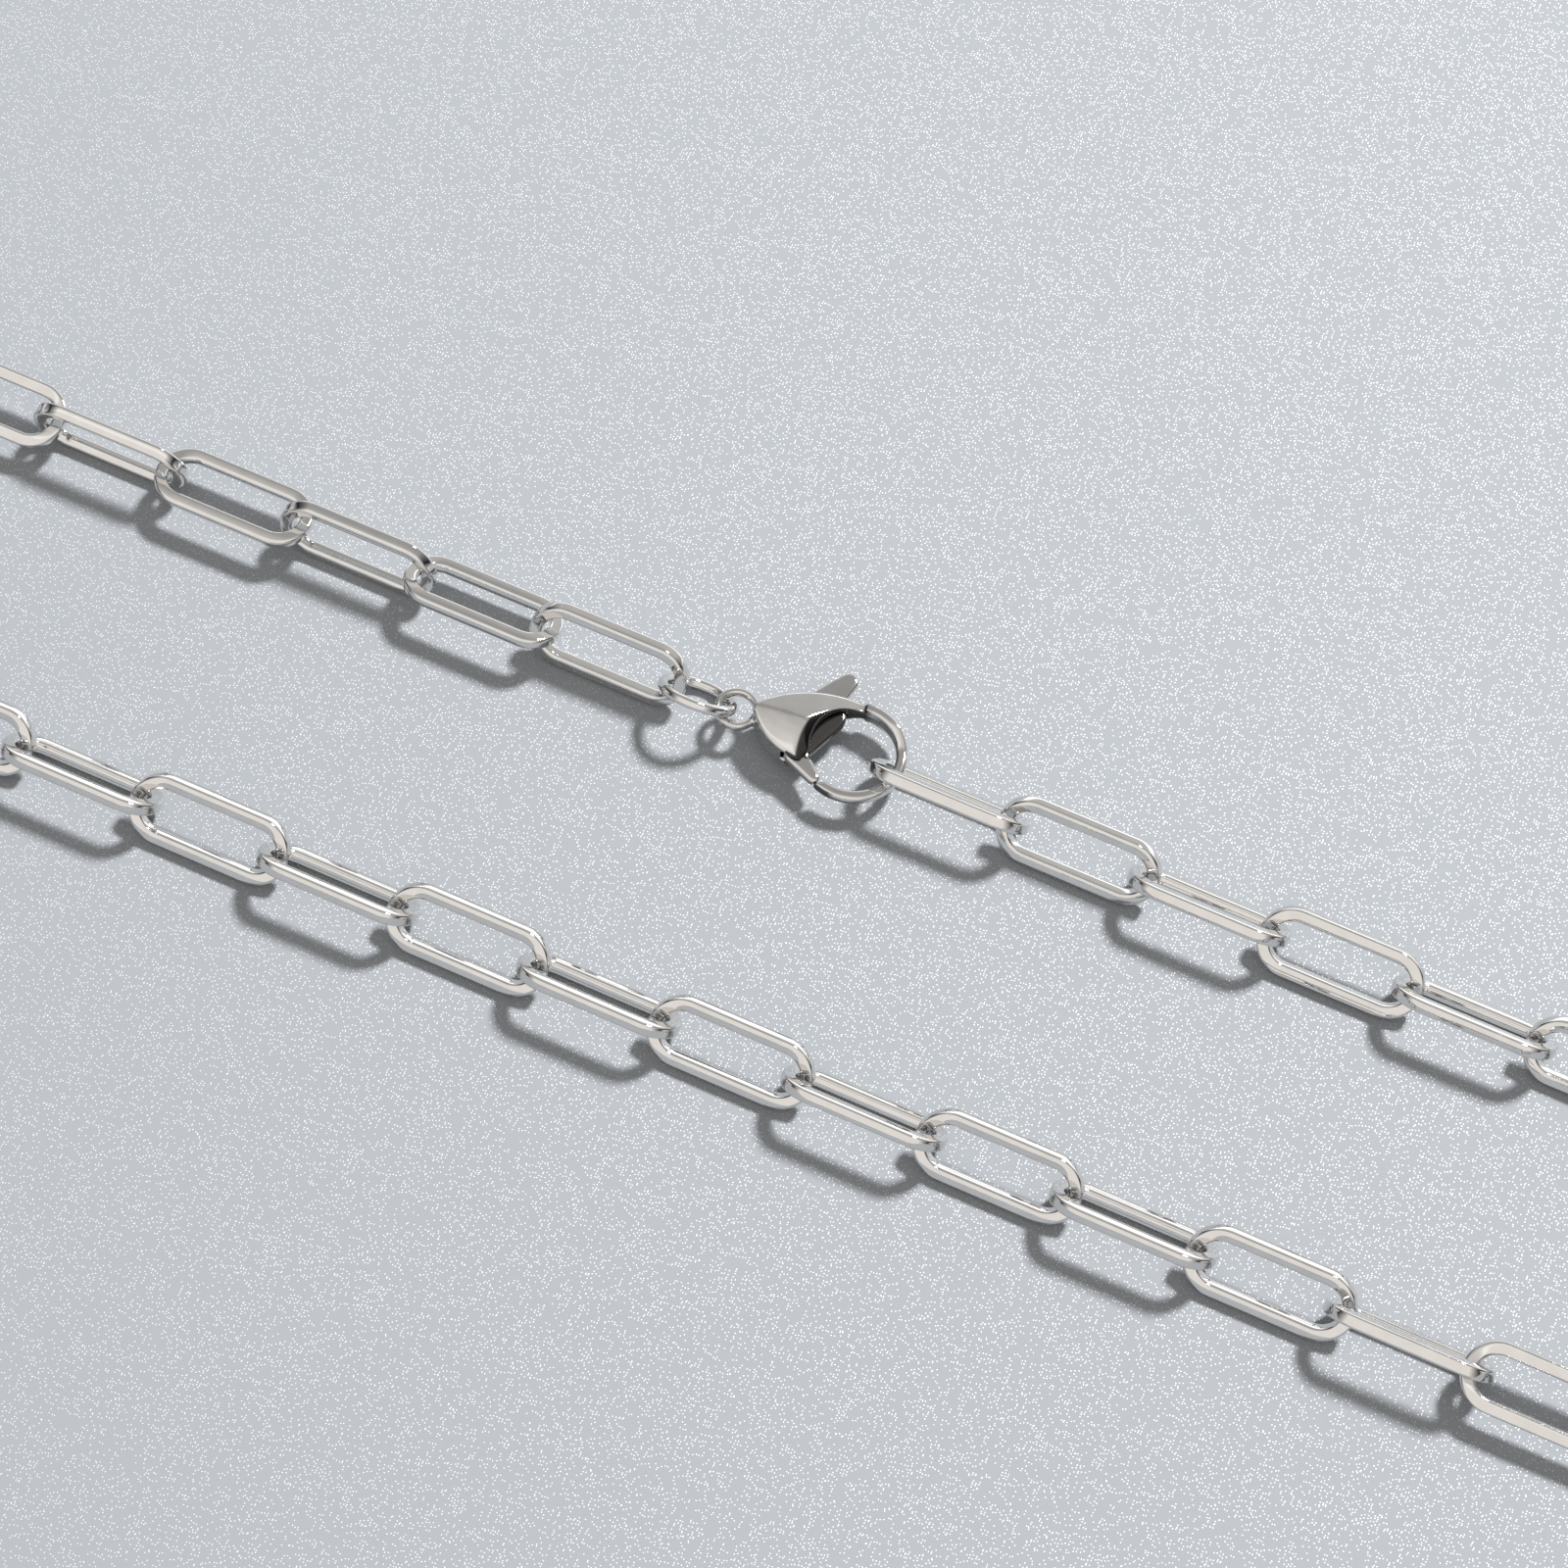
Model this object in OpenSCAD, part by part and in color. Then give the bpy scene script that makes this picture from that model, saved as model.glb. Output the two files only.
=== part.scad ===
// Paperclip chain necklace with a lobster clasp, lying as a closed loop on a flat surface.
// X runs along the two straight strands, Y across them, Z up. The surface is at Z = 0.

/* [Links] */
// Outer length of a link
link_l = 12.3; // [10:0.1:16]
// Outer width of a link
link_w = 5.15; // [4.6:0.05:6.5]
// Thickness of the links' square wire
wire_d = 1; // [0.8:0.05:1.1]
// Play between two links pulled apart
link_play = 0.35; // [0.3:0.01:0.6]
// Extra play of the links at the two ends of the loop, where the chain bends
bend_play = 0.5; // [0.4:0.05:0.8]

/* [Loop] */
// Distance between the two strands
strand_gap = 24.5; // [23:0.1:27]
// Links in line on each side of the clasp
near_links = 8; // [6:1:12]
// Links in line on the strand without a clasp
far_links = 18; // [14:1:26]
// How far the middle of that strand lies beyond the clasp's eye
far_phase = 5.45; // [3:0.05:8]

/* [Jump ring] */
// Outer diameter of the jump ring
ring_od = 6.15; // [5.4:0.05:8]
// Thickness of the ring's wire
ring_wire = 0.8; // [0.7:0.02:0.85]
// Tilt of the ring on the surface
ring_roll = -46; // [-50:1:-45]
// Play of the ring in the eye
ring_play = 0.5; // [0.48:0.01:0.6]
// Play of the last link in the ring
ring_link_play = 0.35; // [0.3:0.01:0.5]
// How far the ring's middle lies to the near side of the eye's
ring_aside = 0.2; // [0.15:0.01:0.25]

/* [Clasp] */
// Outer diameter of the eye
eye_od = 3.3; // [3.2:0.05:3.8]
// Hole of the eye
eye_hole = 2.3; // [2.3:0.05:2.5]
// Thickness of the eye
eye_t = 0.8; // [0.7:0.02:0.82]
// From the eye's centre to the hook's centre
hook_x = 8.87; // [8.5:0.05:11]
// How far the hook's centre lies off the eye's line
hook_y = 0.35; // [0:0.05:0.6]
// Inner radius of the hook
hook_r = 3.1; // [2.9:0.05:3.6]
// Width of the hook's band
hook_w = 0.82; // [0.7:0.02:1]
// Thickness of the hook's band
hook_t = 0.9; // [0.8:0.05:1.1]
// Thickness of the band where it grows out of the body
root_t = 1.7; // [1.2:0.1:2]
// Thickness of the body at its ridge
body_t = 3.2; // [2.8:0.05:3.6]
// Radius of the body's two domed faces
dome_r = 18; // [14:0.5:22]
// Angle of the body's ridge
ridge_turn = 5; // [3:1:12]
// How far the two domes of a face are set apart, which makes the ridge
ridge_set = 3; // [2:0.1:3.4]
// Play between link 1 and the hook
hook_play = 0.7; // [0.5:0.05:1]
// Height of the eye's centre over the surface
eye_z = 2.15; // [2.1:0.01:2.2]
// How far the clasp slopes down to the hook
clasp_slope = 0.5; // [0:0.1:0.8]

/* [Lever] */
// Thickness of the lever
lever_t = 0.8; // [0.6:0.05:0.9]
// Play of the lever in its slot, each side
slot_play = 0.1; // [0.08:0.01:0.2]
// Diameter of the hidden pin
pin_d = 0.8; // [0.6:0.05:1]
// Play of the lever on the pin, all round
pin_play = 0.05; // [0.03:0.01:0.08]
// Play of the pin in the body, all round
pin_fit = 0.02; // [0.01:0.01:0.05]
// How far the pin reaches into each face of the body
pin_reach = 0.45; // [0.3:0.05:0.6]
// Gap between the shut gate and the hook's end
gate_gap = 0.08; // [0.05:0.01:0.2]
// Half width of the thumb tab's tip
tab_r = 0.72; // [0.6:0.02:0.8]
// Half width of the gate's tip
gate_r = 0.45; // [0.4:0.01:0.5]

/* [Hidden] */
$fn = 48;
steel = [0.78, 0.78, 0.77];
dark_steel = [0.7, 0.7, 0.7];

// Links of each end of the loop: one in line, three round the end, one in line
end_links = 5;
links = 2 * near_links + far_links + 2 * end_links;
pitch = link_l - 2 * wire_d - link_play;
// The square wire's corners are rounded to this distance from its middle
corner_r = 0.9 * wire_d / sqrt(2);
end_pitch = pitch - bend_play;

// The clasp in its own plane: the eye's centre at the origin, X to the hook, Y to the thumb tab
hook_at = [hook_x, hook_y];
hook_mid_r = hook_r + hook_w / 2;
pivot = [4.1, 0.2];
pivot_r = 1;
tab_at = [6.4, 5.45];
tab_root = [4.95, 1.75];
tab_root_r = 1.4;
cheek_at = [6.2, 2.3];
cheek_r = 1.25;
heel_at = [5.6, -0.55];
heel_r = 0.8;
knee_at = [5.2, -1.5];
knee_r = 0.83;
gate_at = [7.15, -2.7];
slot_t = lever_t + 2 * slot_play;
// Direction that the hook's end faces: square to it the gate can still swing in
hook_face = 127;
// Angles about the hook's centre between which its band is drawn, before the end is cut
hook_foot = -125;
hook_root = 113;
// The two arcs that bound the body, and the round that hollows it towards the hook
back_arc_r = 10.2;
back_arc = [hook_x + 0.17, hook_y + hook_r + hook_w - back_arc_r];
front_arc = [5.3, 2.98];
front_arc_r = 5.1;
hollow_at = [17.2, -3.9];
// How far the hollow's lip stands off the pivot, and how far its face stands back from the lip
lip_off = 2.23;
hollow_bevel = 1.3;
hollow_lip_r = norm(hollow_at - pivot) - lip_off;
hollow_face_r = hollow_lip_r + hollow_bevel;
// Height over the clasp's plane at which the hollow is as wide as its face radius
hollow_face_z = 1.45;
ridge_x = 4.6;
ridge_y = 0.27;
slot_left = 2.35;
hollow_top_r = hollow_lip_r
  + (hollow_face_r - hollow_lip_r) * (body_t / 2) / (hollow_face_z - slot_t / 2);

// How links lie that differ from the rest, by number from the hook round the loop:
// [link, roll to the left of its run, height of its middle as a share of link_w (0 if it rests)]
far_0 = near_links + end_links;
link_lay = [
  [1, -55, 0], [2, 55, 0], [3, -48, 0], [4, 42, 0], [6, 50, 0],
  [far_0 - 1, 50, 0.5], [far_0, -55, 0], [far_0 + 1, 15, 0.5], [far_0 + 2, 90, 0],
  [far_0 + 3, -10, 0.47], [far_0 + 4, 60, 0], [far_0 + 8, 48, 0],
  [links - 6, -60, 0], [links - 5, 10, 0.47], [links - 4, 95, 0], [links - 3, -5, 0.48],
  [links - 2, 80, 0], [links - 1, -20, 0.47], [links, 65, 0]
];
usual_roll = 45;

function lay_row(n) = [for (row = link_lay) if (row[0] == n) row];
function alternate(n) = (n % 2 == 0 ? 1 : -1) * (n > far_0 ? -1 : 1);
function roll(n) = len(lay_row(n)) > 0 ? lay_row(n)[0][1] : alternate(n) * usual_roll;
function height(n) = max(
    rest_z(link_w - wire_d, 2 * wire_reach(roll(n)), roll(n)),
    len(lay_row(n)) > 0 ? lay_row(n)[0][2] * link_w : 0
  );
// How far the square wire reaches down from its middle at a roll
function wire_reach(angle) = let (
    h = wire_d / 2,
    flat = sqrt(corner_r * corner_r - h * h),
    near = max(abs(cos(angle)), abs(sin(angle))),
    far = min(abs(cos(angle)), abs(sin(angle)))
  ) far * h > near * flat ? corner_r : near * h + far * flat;
// Height of a ring or link lying at a roll, from its middle line's width and its wire
function rest_z(width, wire, angle) = width / 2 * abs(sin(angle)) + wire / 2;
function step(p, q, turn) = [p[0] + q * cos(turn), p[1] + q * sin(turn)];

// Places along the clasp's strand, measured from the eye's centre
ring_x = -eye_hole / 2 + ring_wire + ring_play - ring_od / 2;
last_x = ring_x - ring_od / 2 + ring_wire + wire_d + ring_link_play - link_l / 2;
first_x = hook_x + hook_r - hook_play - wire_d + link_l / 2;
near_y = strand_gap / 2;
far_y = -strand_gap / 2;
hook_end = [first_x + (near_links - 0.5) * pitch + end_pitch, near_y];
ring_end = [last_x - (near_links - 0.5) * pitch - end_pitch, near_y];
far_right = [far_phase + far_links / 2 * pitch + end_pitch, far_y];
far_left = [far_phase - far_links / 2 * pitch - end_pitch, far_y];

// The three links round an end form a symmetric trapezium on the line between the strands' ends
function end_lean(p, q) = acos((norm(q - p) / end_pitch - 1) / 2);
function end_line(p, q) = atan2(q[1] - p[1], q[0] - p[0]);
right_1 = step(hook_end, end_pitch, end_line(hook_end, far_right) + end_lean(hook_end, far_right));
right_2 = step(right_1, end_pitch, end_line(hook_end, far_right));
left_1 = step(far_left, end_pitch, end_line(far_left, ring_end) + end_lean(far_left, ring_end));
left_2 = step(left_1, end_pitch, end_line(far_left, ring_end));

// Where each link meets the next, from the hook round the loop to the ring
joints = concat(
  [for (i = [0 : near_links]) [first_x + (i - 0.5) * pitch, near_y]],
  [hook_end, right_1, right_2, far_right],
  [for (i = [0 : far_links]) [far_phase + (far_links / 2 - i) * pitch, far_y]],
  [far_left, left_1, left_2, ring_end],
  [for (i = [near_links : -1 : 0]) [last_x - (i - 0.5) * pitch, near_y]]
);

// Half the extent of a link along a plan direction, for the loop's middle
function reach(n, turn) = let (
    a = cos(heading(n) - turn),
    w = sin(heading(n) - turn) * cos(roll(n)),
    r = (link_w - wire_d) / 2
  ) (link_l - link_w) / 2 * abs(a) + r * norm([a, w]) + wire_reach(roll(n));
function heading(n) = end_line(joints[n - 1], joints[n]);
function middle(n) = (joints[n - 1] + joints[n]) / 2;
x_max = max([for (n = [1 : links]) middle(n)[0] + reach(n, 0)]);
x_min = min([for (n = [1 : links]) middle(n)[0] - reach(n, 0)]);
y_min = min([for (n = [1 : links]) middle(n)[1] - reach(n, 90)]);
y_max = near_y + tab_at[1] + tab_r;
shift = [-(x_max + x_min) / 2, -(y_max + y_min) / 2, 0];

// Section of the links' wire: a square with rounded corners
module wire_section() {
  intersection() {
    square(wire_d, center = true);
    circle(r = corner_r);
  }
}

// A link about its middle: long along X, wide along Y
module link_shape() {
  r = (link_w - wire_d) / 2;
  half = (link_l - link_w) / 2;
  for (side = [-1, 1]) {
    translate([-half, side * r, 0])
      rotate([0, 90, 0])
        linear_extrude(2 * half) wire_section();
    translate([side * half, 0, 0])
      rotate([0, 0, side > 0 ? -90 : 90])
        rotate_extrude(angle = 180)
          translate([r, 0]) wire_section();
  }
}

module link(n) {
  color(steel)
    translate([middle(n)[0], middle(n)[1], height(n)] + shift)
      rotate([0, 0, heading(n)])
        rotate([roll(n), 0, 0])
          link_shape();
}

module jump_ring() {
  color(steel)
    translate([ring_x, near_y - ring_aside, rest_z(ring_od - ring_wire, ring_wire, ring_roll)] + shift)
      rotate([ring_roll, 0, 0])
        rotate_extrude()
          translate([(ring_od - ring_wire) / 2, 0]) circle(d = ring_wire);
}

// A plate of two round ends and the flanks that touch both
module taper(p, rp, q, rq, t) {
  a = end_line(p, q);
  b = acos((rp - rq) / norm(q - p));
  translate([p[0], p[1], 0]) cylinder(r = rp, h = t, center = true);
  translate([q[0], q[1], 0]) cylinder(r = rq, h = t, center = true);
  slab(t)
    polygon([
      step(p, rp, a + b), step(q, rq, a + b),
      step(q, rq, a - b), step(p, rp, a - b)
    ]);
}

module place_clasp() {
  translate([0, near_y, eye_z] + shift)
    rotate([0, clasp_slope, 0])
      children();
}

// A slab of the given outline, centred on the clasp's plane
module slab(t) {
  translate([0, 0, -t / 2]) linear_extrude(t) children();
}

module clasp_body() {
  color(steel)
    place_clasp() {
      // Drop-shaped body, hollowed towards the hook
      difference() {
        intersection() {
          slab(body_t)
            intersection() {
              translate(back_arc) circle(r = back_arc_r);
              translate(front_arc) circle(r = front_arc_r);
            }
          dome(1, 1);
          dome(1, -1);
          dome(-1, 1);
          dome(-1, -1);
        }
        for (up = [0, 180]) {
          translate([hollow_at[0], hollow_at[1], 0])
            rotate([up, 0, 0])
              translate([0, 0, slot_t / 2 - 0.001])
                cylinder(r1 = hollow_lip_r, r2 = hollow_top_r, h = body_t / 2, $fn = 96);
        }
        translate([hollow_at[0], hollow_at[1], 0])
          cylinder(r = hollow_lip_r, h = slot_t, center = true, $fn = 96);
        // The round inside of the hook, from which the band stands a hair proud
        translate([hook_at[0], hook_at[1], 0])
          cylinder(r = hook_r + 0.03, h = body_t + 1, center = true);
        // The eye's hole stays free of the drop's tip
        cylinder(d = eye_hole, h = body_t, center = true);
        // Slot for the lever, from the gate's side to the tab's side
        slab(slot_t) slot_outline();
        // Blind holes for the pin's ends
        translate([pivot[0], pivot[1], 0])
          cylinder(d = pin_d + 2 * pin_fit, h = slot_t + 2 * (pin_reach + pin_fit), center = true);
      }
      hook_band();
      hook_root_wedge();
      eye();
    }
}

module dome(up, side) {
  zc = sqrt(pow(dome_r, 2) - pow(ridge_set, 2)) - body_t / 2;
  rotate([0, 0, ridge_turn])
    translate([ridge_x, ridge_y + side * ridge_set, -up * zc])
      sphere(r = dome_r, $fn = 96);
}

module slot_outline() {
  right = tab_at[0] + tab_r + gate_gap;
  polygon([
    [slot_left, 6], [slot_left, 1.2], [2.95, -0.2], [4.3, -2.05], [4.5, -4],
    [hook_at[0], -4], [hook_at[0], hook_at[1]], [right, 3.3], [right, 6]
  ]);
}

// The hook's band, from the body's back round to the end that the gate shuts against
module hook_band() {
  start = gate_side(hook_face);
  difference() {
    translate([hook_at[0], hook_at[1], 0])
      rotate([0, 0, hook_foot])
        rotate_extrude(angle = hook_root - hook_foot)
          translate([hook_mid_r, 0]) intersection() {
            square([hook_w, hook_t], center = true);
            circle(r = norm([hook_w, hook_t]) / 2 * 0.85);
          }
    // Cut square to the end's face
    translate([start[0], start[1], 0])
      rotate([0, 0, hook_face])
        translate([0, -3, -hook_t]) cube([4, 6, 2 * hook_t]);
  }
}

// The band's thick root, which thins evenly from the body down to the band
module hook_root_wedge() {
  low = hook_y + 1.1;
  high = hook_y + hook_r;
  end = 98;
  intersection() {
    translate([hook_at[0], hook_at[1], 0])
      rotate_extrude(angle = end)
        translate([hook_mid_r, 0]) square([hook_w - 0.1, root_t + 0.2], center = true);
    rotate([0, 90, 0])
      linear_extrude(hook_x + hook_r + 2)
        polygon([
          [-hook_t / 3, low], [-root_t / 2, high], [-root_t / 2, high + 2],
          [root_t / 2, high + 2], [root_t / 2, high], [hook_t / 3, low]
        ]);
  }
}

// A point on the face of the hook's end, one gap off the gate's tip
function gate_side(face) = step(gate_at, gate_r + gate_gap, face + 180);

module eye() {
  rotate_extrude()
    translate([(eye_od + eye_hole) / 4, 0]) intersection() {
      square([(eye_od - eye_hole) / 2, eye_t], center = true);
      circle(r = eye_t / 2);
    }
}

module clasp_lever() {
  color(dark_steel)
    place_clasp()
      difference() {
        union() {
          taper(tab_root, tab_root_r, tab_at, tab_r, lever_t);
          taper(pivot, pivot_r, tab_root, tab_root_r, lever_t);
          taper(pivot, pivot_r, cheek_at, cheek_r, lever_t);
          taper(heel_at, heel_r, cheek_at, cheek_r, lever_t);
          taper(pivot, pivot_r, heel_at, heel_r, lever_t);
          taper(pivot, pivot_r, knee_at, knee_r, lever_t);
          taper(knee_at, knee_r, gate_at, gate_r, lever_t);
        }
        translate([pivot[0], pivot[1], 0])
          cylinder(d = pin_d + 2 * pin_play, h = body_t, center = true);
      }
}

module clasp_pin() {
  color(dark_steel)
    place_clasp()
      translate([pivot[0], pivot[1], 0])
        cylinder(d = pin_d, h = slot_t + 2 * pin_reach, center = true);
}

for (n = [1 : links]) {
  link(n);
}
jump_ring();
clasp_body();
clasp_lever();
clasp_pin();
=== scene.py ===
import math

import bmesh
import bpy
import numpy as np
from mathutils import Matrix, Vector


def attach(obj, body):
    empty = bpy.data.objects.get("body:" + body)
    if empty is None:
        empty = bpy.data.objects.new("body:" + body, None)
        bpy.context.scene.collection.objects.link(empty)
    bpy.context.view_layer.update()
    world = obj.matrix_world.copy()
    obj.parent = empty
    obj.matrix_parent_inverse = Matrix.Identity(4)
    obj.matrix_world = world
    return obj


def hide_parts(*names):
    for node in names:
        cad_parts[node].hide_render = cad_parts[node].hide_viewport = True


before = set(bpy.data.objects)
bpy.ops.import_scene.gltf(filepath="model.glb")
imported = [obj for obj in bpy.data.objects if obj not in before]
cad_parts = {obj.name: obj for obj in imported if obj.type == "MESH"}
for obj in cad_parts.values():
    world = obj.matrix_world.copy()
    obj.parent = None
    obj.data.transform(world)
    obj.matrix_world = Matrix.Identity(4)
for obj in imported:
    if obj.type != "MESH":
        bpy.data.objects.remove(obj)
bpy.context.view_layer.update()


# ---- Chain links ----
# Stadium-shaped links bent from nearly square stainless wire, butt-welded, tumbled and polished to a mirror, each
# one threaded through both of its neighbours. They lie where the solid links lie, on alternate edges.
link_length = 0.0123
link_width = 0.00515
link_wire = 0.001
link_squareness = 4.0
link_spring = math.radians(14)
link_bend_steps = 40
link_round_steps = 48


def grid_mesh(name, points, wrap_u=True, wrap_v=True):
    """A mesh from an array of points [u, v, xyz]; each face joins a point to its next ones along u and v."""
    nu, nv = points.shape[:2]
    index = np.arange(nu * nv).reshape(nu, nv)
    next_u = np.roll(index, -1, axis=0)
    next_v = np.roll(index, -1, axis=1)
    next_uv = np.roll(next_u, -1, axis=1)
    quads = np.stack([index, next_u, next_uv, next_v], axis=-1)
    quads = quads[: nu if wrap_u else nu - 1, : nv if wrap_v else nv - 1].reshape(-1, 4)
    mesh = bpy.data.meshes.new(name)
    mesh.vertices.add(nu * nv)
    mesh.vertices.foreach_set("co", points.reshape(-1).astype(np.float32))
    mesh.loops.add(quads.size)
    mesh.loops.foreach_set("vertex_index", quads.reshape(-1).astype(np.int32))
    mesh.polygons.add(len(quads))
    mesh.polygons.foreach_set("loop_start", np.arange(0, quads.size, 4, dtype=np.int32))
    mesh.polygons.foreach_set("use_smooth", np.ones(len(quads), dtype=bool))
    mesh.update(calc_edges=True)
    mesh.validate()
    return mesh


def bent_wire(length, width, wire, squareness, spring, bend_steps, round_steps):
    """Points of a closed wire loop: the wire's section carried round a stadium, which is two half circles of the
    wire's middle line, joined by straight runs. The section is |x|^n + |y|^n = 1 times half the wire, where n is
    the squareness: 2 gives round wire, and more gives square wire with rounded corners and faintly domed faces.
    The spring is how far the straight runs have sprung round, all one way, about the link's long axis."""
    r = (width - wire) / 2
    half = (length - width) / 2
    turn = np.concatenate([np.linspace(-np.pi / 2, np.pi / 2, bend_steps),
                           np.linspace(np.pi / 2, 3 * np.pi / 2, bend_steps)])
    if half < 1e-9:
        turn = np.linspace(0, 2 * np.pi, 2 * bend_steps, endpoint=False)
    side = np.where(np.arange(2 * bend_steps) < bend_steps, half, -half)
    out = np.stack([np.cos(turn), np.sin(turn), 0 * turn], axis=-1)
    middle = r * out + np.stack([side, 0 * side, 0 * side], axis=-1)
    round_ = np.linspace(0, 2 * np.pi, round_steps, endpoint=False)
    across = np.sign(np.cos(round_)) * np.abs(np.cos(round_)) ** (2 / squareness)
    upward = np.sign(np.sin(round_)) * np.abs(np.sin(round_)) ** (2 / squareness)
    along = np.stack([-np.sin(turn), np.cos(turn), 0 * turn], axis=-1)
    up = np.array([0.0, -np.sin(spring), np.cos(spring)])
    up = up - (along @ up)[:, None] * along
    up /= np.linalg.norm(up, axis=1, keepdims=True)
    out = np.cross(along, up)
    ring = across[None, :, None] * out[:, None, :] + upward[None, :, None] * up[:, None, :]
    return middle[:, None, :] + wire / 2 * ring


def lie_of(node):
    """Middle and axes of a solid ring or link: its principal axes, longest first, and the middle of its extent
    along each of them. The first axis points to +X and the last one up."""
    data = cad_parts[node].data
    co = np.zeros(len(data.vertices) * 3, np.float32)
    data.vertices.foreach_get("co", co)
    co = np.unique(np.round(co.reshape(-1, 3).astype(float), 7), axis=0)
    axes = np.linalg.svd(co - co.mean(0), full_matrices=False)[2]
    axes[0] *= 1 if axes[0, 0] > 0 else -1
    axes[2] = np.cross(axes[0], axes[1])
    axes[1:] *= 1 if axes[2, 2] > 0 else -1
    along = co @ axes.T
    middle = (along.max(0) + along.min(0)) / 2 @ axes
    return middle, axes


def polished_steel(name, colour, gloss, haze, grain):
    """Mirror-polished steel: a metal whose roughness drifts a little over the surface, under a very fine wipe of
    polishing lines and a faint waviness left by tumbling."""
    m = bpy.data.materials.new(name)
    m.use_nodes = True
    t = m.node_tree
    shader = t.nodes["Principled BSDF"]
    shader.inputs["Metallic"].default_value = 1.0
    where = t.nodes.new("ShaderNodeTexCoord")
    drift = t.nodes.new("ShaderNodeTexNoise")
    drift.inputs["Scale"].default_value = 900.0
    drift.inputs["Detail"].default_value = 4.0
    rough = t.nodes.new("ShaderNodeMapRange")
    rough.inputs["From Min"].default_value = 0.35
    rough.inputs["From Max"].default_value = 0.75
    rough.inputs["To Min"].default_value = gloss
    rough.inputs["To Max"].default_value = haze
    tone = t.nodes.new("ShaderNodeValToRGB")
    tone.color_ramp.elements[0].position = 0.3
    tone.color_ramp.elements[0].color = (*[c * 0.93 for c in colour], 1)
    tone.color_ramp.elements[1].position = 0.7
    tone.color_ramp.elements[1].color = (*colour, 1)
    wipe = t.nodes.new("ShaderNodeTexNoise")
    wipe.inputs["Scale"].default_value = grain
    wipe.inputs["Detail"].default_value = 2.0
    wave = t.nodes.new("ShaderNodeBump")
    wave.inputs["Strength"].default_value = 0.05
    wave.inputs["Distance"].default_value = 0.00002
    t.links.new(where.outputs["Object"], drift.inputs["Vector"])
    t.links.new(where.outputs["Object"], wipe.inputs["Vector"])
    t.links.new(drift.outputs["Fac"], rough.inputs["Value"])
    t.links.new(drift.outputs["Fac"], tone.inputs["Fac"])
    t.links.new(tone.outputs["Color"], shader.inputs["Base Color"])
    t.links.new(rough.outputs["Result"], shader.inputs["Roughness"])
    t.links.new(wipe.outputs["Fac"], wave.inputs["Height"])
    t.links.new(wave.outputs["Normal"], shader.inputs["Normal"])
    return m


chain_steel = polished_steel("chain_steel", (0.76, 0.75, 0.735), gloss=0.02, haze=0.06, grain=2500.0)
link_wire_points = bent_wire(link_length, link_width, link_wire, link_squareness, link_spring,
                             link_bend_steps, link_round_steps)
for node in sorted(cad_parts):
    if node.startswith("link_"):
        middle, axes = lie_of(node)
        mesh = grid_mesh(node + "_wire", link_wire_points @ axes + middle)
        mesh.materials.append(chain_steel)
        link = bpy.data.objects.new(node + "_wire", mesh)
        bpy.context.scene.collection.objects.link(link)
        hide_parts(node)
        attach(link, "necklace")


# ---- Jump ring ----
# A plain round ring of thinner steel wire, closed, that joins the last link to the clasp's eye.
ring_outer = 0.00615
ring_wire = 0.0008
ring_squareness = 2
ring_bend_steps = 60
ring_round_steps = 32

middle, axes = lie_of("jump_ring")
ring_points = bent_wire(ring_outer, ring_outer, ring_wire, ring_squareness, 0.0, ring_bend_steps, ring_round_steps)
mesh = grid_mesh("jump_ring_wire", ring_points @ axes + middle)
mesh.materials.append(chain_steel)
jump_ring = bpy.data.objects.new("jump_ring_wire", mesh)
bpy.context.scene.collection.objects.link(jump_ring)
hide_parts("jump_ring")
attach(jump_ring, "necklace")


# ---- Clasp body ----
# The lobster clasp's eye, ridged drop and hook, cast in one piece in stainless steel, then tumbled, which rounds
# all its edges, and polished. The lever's pin is hidden inside it.
body_grain = 0.00006
body_tumbling = 26


def tumbled(node, name, grain, passes):
    """A copy of a solid with its edges rounded as tumbling does: its triangles merged, built anew on a fine even
    grid, then each point moved towards the mean of its neighbours several times."""
    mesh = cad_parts[node].data.copy()
    mesh.name = name
    merged = bmesh.new()
    merged.from_mesh(mesh)
    bmesh.ops.remove_doubles(merged, verts=merged.verts, dist=1e-7)
    merged.to_mesh(mesh)
    merged.free()
    mesh.materials.clear()
    mesh.remesh_voxel_size = grain
    piece = bpy.data.objects.new(name, mesh)
    bpy.context.scene.collection.objects.link(piece)
    bpy.ops.object.select_all(action="DESELECT")
    piece.select_set(True)
    bpy.context.view_layer.objects.active = piece
    bpy.ops.object.voxel_remesh()
    mesh = piece.data
    count = len(mesh.vertices)
    co = np.zeros(count * 3)
    mesh.vertices.foreach_get("co", co)
    co = co.reshape(-1, 3)
    edge = np.zeros(len(mesh.edges) * 2, np.int64)
    mesh.edges.foreach_get("vertices", edge)
    one, two = edge.reshape(-1, 2).T
    beside = np.bincount(np.concatenate([one, two]), minlength=count)
    for _ in range(passes):
        mean = np.stack([(np.bincount(one, co[two, k], count) + np.bincount(two, co[one, k], count)) / beside
                         for k in range(3)], axis=-1)
        co = 0.4 * co + 0.6 * mean
    mesh.vertices.foreach_set("co", co.reshape(-1).astype(np.float32))
    mesh.polygons.foreach_set("use_smooth", np.ones(len(mesh.polygons), dtype=bool))
    mesh.update()
    return piece


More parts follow.
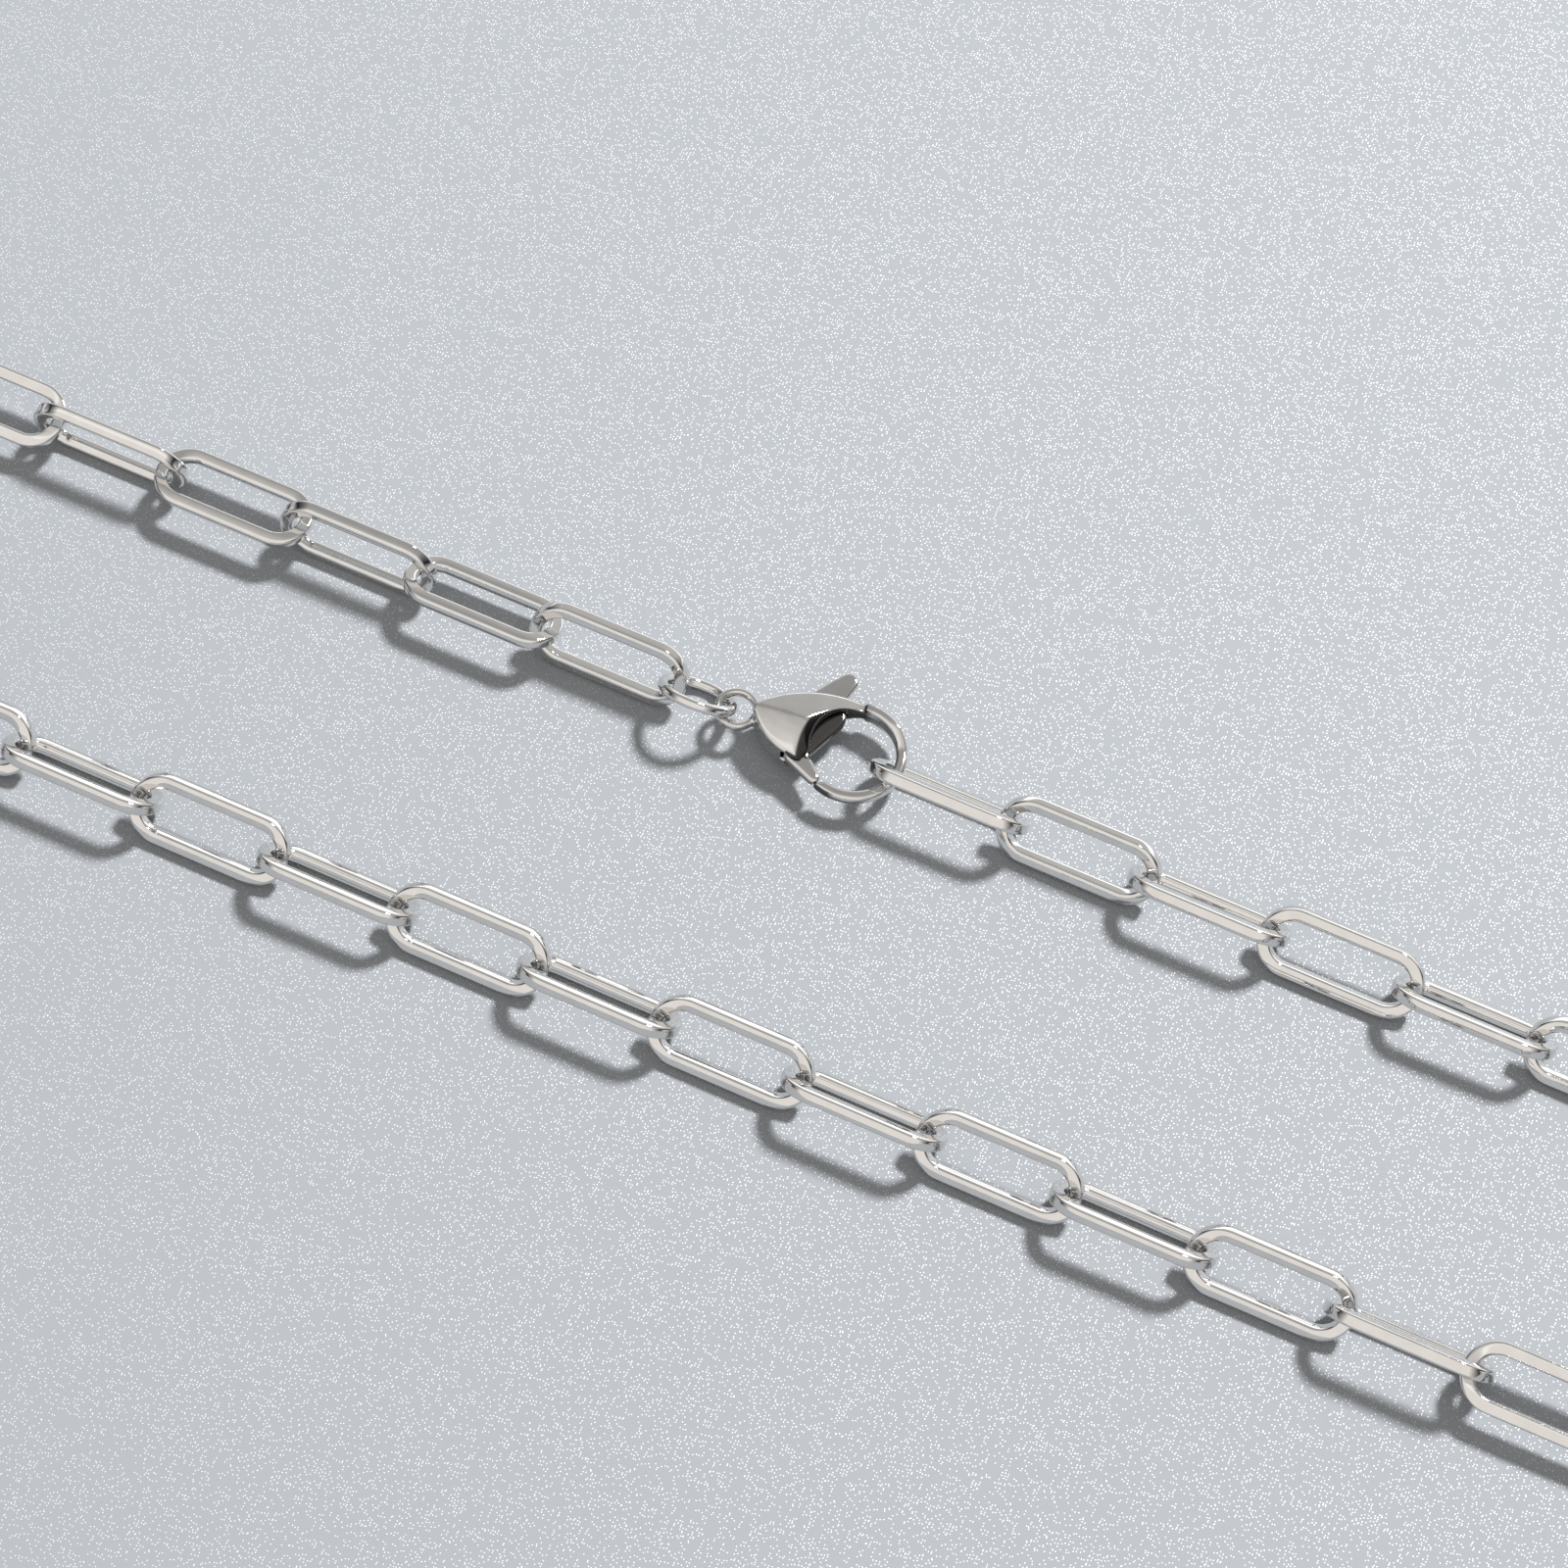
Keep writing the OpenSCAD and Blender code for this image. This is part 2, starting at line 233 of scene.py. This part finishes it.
def paint_hollow_shade(material, centre, radius, end_x, steepness, shade_darkness, roughness):
    """Paints shade into what lies inside a round hollow: darkens its colour and sets its roughness, for all that
    is nearer than the radius to its middle, short of an end in x, and faces up less than the steepness. Borders
    are soft."""
    radius_border = 0.0001
    end_border = 0.0005
    steepness_border = 0.1
    painted_shade_tint = (1.0, 0.97, 0.94)
    t = material.node_tree
    shader = t.nodes["Principled BSDF"]
    where = t.nodes.new("ShaderNodeTexCoord")
    from_centre = t.nodes.new("ShaderNodeVectorMath")
    from_centre.operation = "SUBTRACT"
    from_centre.inputs[1].default_value = centre
    flat = t.nodes.new("ShaderNodeVectorMath")
    flat.operation = "MULTIPLY"
    flat.inputs[1].default_value = (1, 1, 0)
    distance = t.nodes.new("ShaderNodeVectorMath")
    distance.operation = "LENGTH"
    place = t.nodes.new("ShaderNodeSeparateXYZ")
    facing = t.nodes.new("ShaderNodeSeparateXYZ")
    t.links.new(where.outputs["Object"], from_centre.inputs[0])
    t.links.new(from_centre.outputs["Vector"], flat.inputs[0])
    t.links.new(flat.outputs["Vector"], distance.inputs[0])
    t.links.new(where.outputs["Object"], place.inputs["Vector"])
    t.links.new(where.outputs["Normal"], facing.inputs["Vector"])
    painted_shade_mask = None
    for value, none, border in [(distance.outputs["Value"], radius, radius_border),
                                (place.outputs["X"], end_x, end_border),
                                (facing.outputs["Z"], steepness, steepness_border)]:
        fade = t.nodes.new("ShaderNodeMapRange")
        fade.inputs["From Min"].default_value = none - border
        fade.inputs["From Max"].default_value = none
        fade.inputs["To Min"].default_value = 1.0
        fade.inputs["To Max"].default_value = 0.0
        t.links.new(value, fade.inputs["Value"])
        if painted_shade_mask is None:
            painted_shade_mask = fade.outputs["Result"]
        else:
            both = t.nodes.new("ShaderNodeMath")
            both.operation = "MULTIPLY"
            t.links.new(painted_shade_mask, both.inputs[0])
            t.links.new(fade.outputs["Result"], both.inputs[1])
            painted_shade_mask = both.outputs["Value"]
    # Inside the mask the colour is darkened as painted shade, and the roughness is set as given.
    colour = t.nodes.new("ShaderNodeMix")
    colour.data_type = "RGBA"
    colour.inputs["B"].default_value = (*[shade_darkness * w for w in painted_shade_tint], 1)
    satin = t.nodes.new("ShaderNodeMix")
    satin.inputs["B"].default_value = roughness
    t.links.new(shader.inputs["Base Color"].links[0].from_socket, colour.inputs["A"])
    t.links.new(shader.inputs["Roughness"].links[0].from_socket, satin.inputs["A"])
    t.links.new(painted_shade_mask, colour.inputs["Factor"])
    t.links.new(painted_shade_mask, satin.inputs["Factor"])
    t.links.new(colour.outputs["Result"], shader.inputs["Base Color"])
    t.links.new(satin.outputs["Result"], shader.inputs["Roughness"])


body_colour = (0.70, 0.69, 0.675)
# Where shade is painted into the body's colour: the hollow by the hook's opening and the lever's slot.
hollow_middle = (0.012754, 0.006564, 0.0)
hollow_radius = 0.0128
hollow_end_x = 0.0046
hollow_steepness = 0.88
slot_middle = (0.0026, 0.0109, 0.0)
slot_radius = 0.0019
all_facings = 1.2
body_steel = polished_steel("clasp_body_steel", body_colour, gloss=0.03, haze=0.08, grain=1800.0)
# Painted shade in the drop's hollow, darkening the colour there.
paint_hollow_shade(body_steel, hollow_middle, hollow_radius, hollow_end_x, hollow_steepness, shade_darkness=0.1, roughness=0.3)
# Painted shade in the recess of the lever's slot, darkening the colour there.
paint_hollow_shade(body_steel, slot_middle, slot_radius, hollow_end_x, all_facings, shade_darkness=0.14, roughness=0.08)
clasp_body = tumbled("clasp_body", "clasp_body_cast", body_grain, body_tumbling)
clasp_body.data.materials.append(body_steel)
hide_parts("clasp_body")
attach(clasp_body, "necklace")


# ---- Clasp lever ----
# A flat lever stamped from steel sheet, with the gate at one end and the thumb tab at the other, tumbled and
# polished like the body. It turns on the hidden pin.
lever_grain = 0.00006
lever_tumbling = 34

# Where shade is painted into the lever's colour: its edge between the body's cheeks.
cheek_middle = (0.0012, 0.0112, 0.0)
cheek_radius = 0.0025
clasp_steel = polished_steel("clasp_steel", body_colour, gloss=0.03, haze=0.08, grain=1800.0)
# Painted shade on the lever's edge between the cheeks, darkening the colour there; the pin shares this material.
paint_hollow_shade(clasp_steel, cheek_middle, cheek_radius, hollow_end_x, all_facings, shade_darkness=0.14, roughness=0.08)
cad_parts["clasp_pin"].material_slots[0].material = clasp_steel
clasp_lever = tumbled("clasp_lever", "clasp_lever_stamped", lever_grain, lever_tumbling)
clasp_lever.data.materials.append(clasp_steel)
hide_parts("clasp_lever")
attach(clasp_lever, "lever")


# ---- Floor ----
# A pale blue-grey board with a fine glitter in its lacquer, which the chain lies on.
board_half = 1.5
board_colour = (0.247, 0.263, 0.282, 1)
board_roughness = 0.65
board_sheen = 0.25
flake_colour = (0.56, 0.57, 0.58, 1)
flake_cells_per_metre = 4600.0
flake_gap_share = 0.62
flake_radius_share = 0.19

mesh = bpy.data.meshes.new("floor")
corners = [(-board_half, -board_half, 0), (board_half, -board_half, 0),
           (board_half, board_half, 0), (-board_half, board_half, 0)]
mesh.from_pydata(corners, [], [(0, 1, 2, 3)])
floor = bpy.data.objects.new("floor", mesh)
bpy.context.scene.collection.objects.link(floor)
board = bpy.data.materials.new("glitter_board")
board.use_nodes = True
t = board.node_tree
shader = t.nodes["Principled BSDF"]
shader.inputs["Base Color"].default_value = board_colour
shader.inputs["Roughness"].default_value = board_roughness
shader.inputs["Specular IOR Level"].default_value = board_sheen
where = t.nodes.new("ShaderNodeTexCoord")
flake = t.nodes.new("ShaderNodeTexVoronoi")
flake.voronoi_dimensions = "2D"
flake.inputs["Scale"].default_value = flake_cells_per_metre
pick = t.nodes.new("ShaderNodeSeparateColor")
bright = t.nodes.new("ShaderNodeMath")
bright.operation = "GREATER_THAN"
bright.inputs[1].default_value = flake_gap_share
near = t.nodes.new("ShaderNodeMath")
near.operation = "LESS_THAN"
near.inputs[1].default_value = flake_radius_share
both = t.nodes.new("ShaderNodeMath")
both.operation = "MULTIPLY"
tint = t.nodes.new("ShaderNodeMix")
tint.data_type = "RGBA"
tint.inputs["A"].default_value = board_colour
tint.inputs["B"].default_value = flake_colour
t.links.new(where.outputs["Object"], flake.inputs["Vector"])
t.links.new(flake.outputs["Color"], pick.inputs["Color"])
t.links.new(pick.outputs["Red"], bright.inputs[0])
t.links.new(flake.outputs["Distance"], near.inputs[0])
t.links.new(bright.outputs["Value"], both.inputs[0])
t.links.new(near.outputs["Value"], both.inputs[1])
t.links.new(both.outputs["Value"], tint.inputs["Factor"])
t.links.new(tint.outputs["Result"], shader.inputs["Base Color"])
t.links.new(both.outputs["Value"], shader.inputs["Metallic"])
mesh.materials.append(board)


# ---- Studio light ----
# A light tent: a bright strip at the back, grey cloth overhead and cream cloth in front, a dark gap at each side,
# and one lamp at the back right that throws the shadows. The cloth's tones go round from the back horizon (0) over
# the top to the front one (1), and the gaps' go by how far a direction points aside.
tent_cloth = [
    (0.000, (0.40, 0.40, 0.40)), (0.017, (2.00, 2.00, 2.00)), (0.075, (2.00, 2.00, 2.00)),
    (0.088, (0.64, 0.63, 0.62)), (0.240, (0.56, 0.55, 0.54)), (0.310, (0.40, 0.395, 0.39)),
    (0.390, (0.42, 0.415, 0.41)), (0.455, (0.60, 0.58, 0.56)), (0.520, (0.86, 0.83, 0.80)),
    (0.540, (1.16, 1.14, 1.10)), (0.560, (1.14, 1.11, 1.08)), (0.575, (0.98, 0.94, 0.90)),
    (1.000, (0.98, 0.94, 0.90)),
]
tent_sides = [(0.55, 1.0), (0.90, 0.02), (1.00, 1.0)]
lamp_way = Vector((0.243, 0.761, 1.0)).normalized()
lamp_distance = 2.0
lamp_size = 0.30
lamp_power = 74.0

world = bpy.data.worlds.new("light_tent")
bpy.context.scene.world = world
world.use_nodes = True
t = world.node_tree
back = t.nodes["Background"]
where = t.nodes.new("ShaderNodeTexCoord")
split = t.nodes.new("ShaderNodeSeparateXYZ")
angle = t.nodes.new("ShaderNodeMath")
angle.operation = "ARCTAN2"
share = t.nodes.new("ShaderNodeMath")
share.operation = "DIVIDE"
share.inputs[1].default_value = math.pi
tent = t.nodes.new("ShaderNodeValToRGB")
while len(tent.color_ramp.elements) < len(tent_cloth):
    tent.color_ramp.elements.new(0.5)
for spot, (place, colour) in zip(tent.color_ramp.elements, tent_cloth):
    spot.position = place
    spot.color = (*colour, 1)
t.links.new(where.outputs["Generated"], split.inputs["Vector"])
t.links.new(split.outputs["Z"], angle.inputs[0])
t.links.new(split.outputs["Y"], angle.inputs[1])
t.links.new(angle.outputs["Value"], share.inputs[0])
t.links.new(share.outputs["Value"], tent.inputs["Fac"])
aside = t.nodes.new("ShaderNodeMath")
aside.operation = "ABSOLUTE"
gap = t.nodes.new("ShaderNodeValToRGB")
gap.color_ramp.elements.new(0.5)
for spot, (place, tone) in zip(gap.color_ramp.elements, tent_sides):
    spot.position = place
    spot.color = (tone, tone, tone, 1)
hung = t.nodes.new("ShaderNodeMix")
hung.data_type = "RGBA"
hung.blend_type = "MULTIPLY"
hung.inputs["Factor"].default_value = 1.0
t.links.new(split.outputs["X"], aside.inputs[0])
t.links.new(aside.outputs["Value"], gap.inputs["Fac"])
t.links.new(tent.outputs["Color"], hung.inputs["A"])
t.links.new(gap.outputs["Color"], hung.inputs["B"])
t.links.new(hung.outputs["Result"], back.inputs["Color"])
back.inputs["Strength"].default_value = 1.0

lamp_data = bpy.data.lights.new("key_lamp", "AREA")
lamp_data.shape = "DISK"
lamp_data.size = lamp_size
lamp_data.energy = lamp_power
lamp = bpy.data.objects.new("key_lamp", lamp_data)
lamp.location = lamp_way * lamp_distance
lamp.rotation_euler = lamp_way.to_track_quat("Z", "Y").to_euler()
bpy.context.scene.collection.objects.link(lamp)


# ---- Camera ----
# A 102 mm lens 317 mm from the clasp, steeply from above and a little askew, as the photograph is taken.
lens = 102.15
film = 36.0
near_limit = 0.01
aim = Vector((0.00068, 0.00751, 0.0))
distance = 0.317
round_turn, tilt, roll = math.radians(16.6), math.radians(27.5), math.radians(7.9)

camera_data = bpy.data.cameras.new("camera")
camera_data.lens = lens
camera_data.sensor_width = film
camera_data.clip_start = near_limit
camera = bpy.data.objects.new("camera", camera_data)
bpy.context.scene.collection.objects.link(camera)
turned = Matrix.Rotation(round_turn, 4, "Z") @ Matrix.Rotation(tilt, 4, "X") @ Matrix.Rotation(roll, 4, "Z")
camera.matrix_world = Matrix.Translation(aim + turned @ Vector((0, 0, distance))) @ turned
bpy.context.scene.camera = camera
bpy.context.scene.view_settings.view_transform = "Standard"
